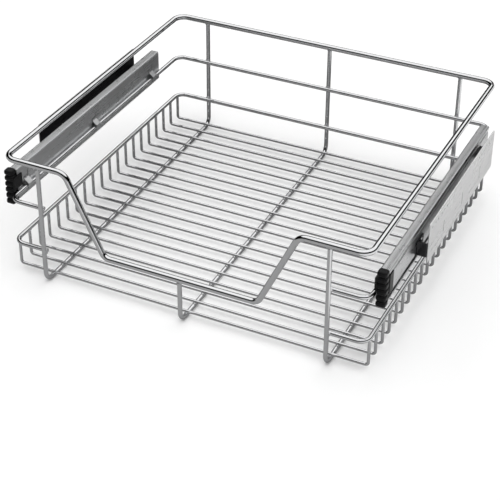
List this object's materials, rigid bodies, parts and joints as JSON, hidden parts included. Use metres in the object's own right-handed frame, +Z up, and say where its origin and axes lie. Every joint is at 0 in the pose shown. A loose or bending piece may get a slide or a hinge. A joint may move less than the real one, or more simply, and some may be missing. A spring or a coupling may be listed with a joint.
{
  "type": "pull out cabinet basket",
  "caption": "Chromed wire basket with a dipped front rim, sliding on two ball-bearing runners with plates that screw to the cabinet sides.",
  "frame": {"origin": "middle of the unit's footprint at the height of the lowest wires", "axes": "+X across the cabinet to the right seen from the front, -Y towards the front where the basket pulls out, +Z up"},
  "size_m": [0.562, 0.483, 0.184],
  "materials": {
    "chrome_wire": "polished",
    "galvanised_steel": "satin",
    "plate_steel": "satin",
    "cage_steel": "satin",
    "ball_steel": "polished",
    "screw_steel": "satin",
    "black_plastic": "matte"
  },
  "bodies": {
    "cabinet_side": {"mounting_plate_left": "plate_steel", "front_bracket_left": "galvanised_steel", "rear_bracket_left": "galvanised_steel", "cabinet_member_left": "galvanised_steel", "stop_block_left": "black_plastic", "bracket_screws_left": "screw_steel", "mounting_plate_right": "plate_steel", "front_bracket_right": "galvanised_steel", "rear_bracket_right": "galvanised_steel", "cabinet_member_right": "galvanised_steel", "stop_block_right": "black_plastic", "bracket_screws_right": "screw_steel"},
    "basket": {"top_rim": "chrome_wire", "middle_ring": "chrome_wire", "lower_ring": "chrome_wire", "bottom_wire_left": "chrome_wire", "bottom_wire_centre": "chrome_wire", "bottom_wire_right": "chrome_wire", "cross_wire_01": "chrome_wire", "cross_wire_02": "chrome_wire", "cross_wire_03": "chrome_wire", "cross_wire_04": "chrome_wire", "cross_wire_05": "chrome_wire", "cross_wire_06": "chrome_wire", "cross_wire_07": "chrome_wire", "cross_wire_08": "chrome_wire", "cross_wire_09": "chrome_wire", "cross_wire_10": "chrome_wire", "cross_wire_11": "chrome_wire", "cross_wire_12": "chrome_wire", "cross_wire_13": "chrome_wire", "cross_wire_14": "chrome_wire", "cross_wire_15": "chrome_wire", "cross_wire_16": "chrome_wire", "cross_wire_17": "chrome_wire", "cross_wire_18": "chrome_wire", "cross_wire_19": "chrome_wire", "cross_wire_20": "chrome_wire", "drawer_member_left": "galvanised_steel", "front_cap_left": "black_plastic", "drawer_member_right": "galvanised_steel", "front_cap_right": "black_plastic"},
    "intermediate_left": {"intermediate_member_left": "galvanised_steel"},
    "outer_cage_left": {"outer_ball_cage_left": "cage_steel", "outer_balls_left": "ball_steel"},
    "inner_cage_left": {"inner_ball_cage_left": "cage_steel", "inner_balls_left": "ball_steel"},
    "intermediate_right": {"intermediate_member_right": "galvanised_steel"},
    "outer_cage_right": {"outer_ball_cage_right": "cage_steel", "outer_balls_right": "ball_steel"},
    "inner_cage_right": {"inner_ball_cage_right": "cage_steel", "inner_balls_right": "ball_steel"}
  },
  "joints": [
    {"name": "basket_slide", "type": "slide", "parent": "cabinet_side", "child": "basket", "axis": [0, -1, 0], "range_m": [0, 0.38]},
    {"name": "intermediate_left_slide", "type": "slide", "parent": "cabinet_side", "child": "intermediate_left", "axis": [0, -1, 0], "range_m": [0, 0.19]},
    {"name": "outer_cage_left_slide", "type": "slide", "parent": "cabinet_side", "child": "outer_cage_left", "axis": [0, -1, 0], "range_m": [0, 0.285]},
    {"name": "inner_cage_left_slide", "type": "slide", "parent": "cabinet_side", "child": "inner_cage_left", "axis": [0, -1, 0], "range_m": [0, 0.095]},
    {"name": "intermediate_right_slide", "type": "slide", "parent": "cabinet_side", "child": "intermediate_right", "axis": [0, -1, 0], "range_m": [0, 0.19]},
    {"name": "outer_cage_right_slide", "type": "slide", "parent": "cabinet_side", "child": "outer_cage_right", "axis": [0, -1, 0], "range_m": [0, 0.285]},
    {"name": "inner_cage_right_slide", "type": "slide", "parent": "cabinet_side", "child": "inner_cage_right", "axis": [0, -1, 0], "range_m": [0, 0.095]}
  ],
  "couplings": [
    {"joint": "intermediate_left_slide", "follows": "basket_slide", "ratio": 0.5},
    {"joint": "outer_cage_left_slide", "follows": "basket_slide", "ratio": 0.75},
    {"joint": "inner_cage_left_slide", "follows": "basket_slide", "ratio": 0.25},
    {"joint": "intermediate_right_slide", "follows": "basket_slide", "ratio": 0.5},
    {"joint": "outer_cage_right_slide", "follows": "basket_slide", "ratio": 0.75},
    {"joint": "inner_cage_right_slide", "follows": "basket_slide", "ratio": 0.25}
  ]
}
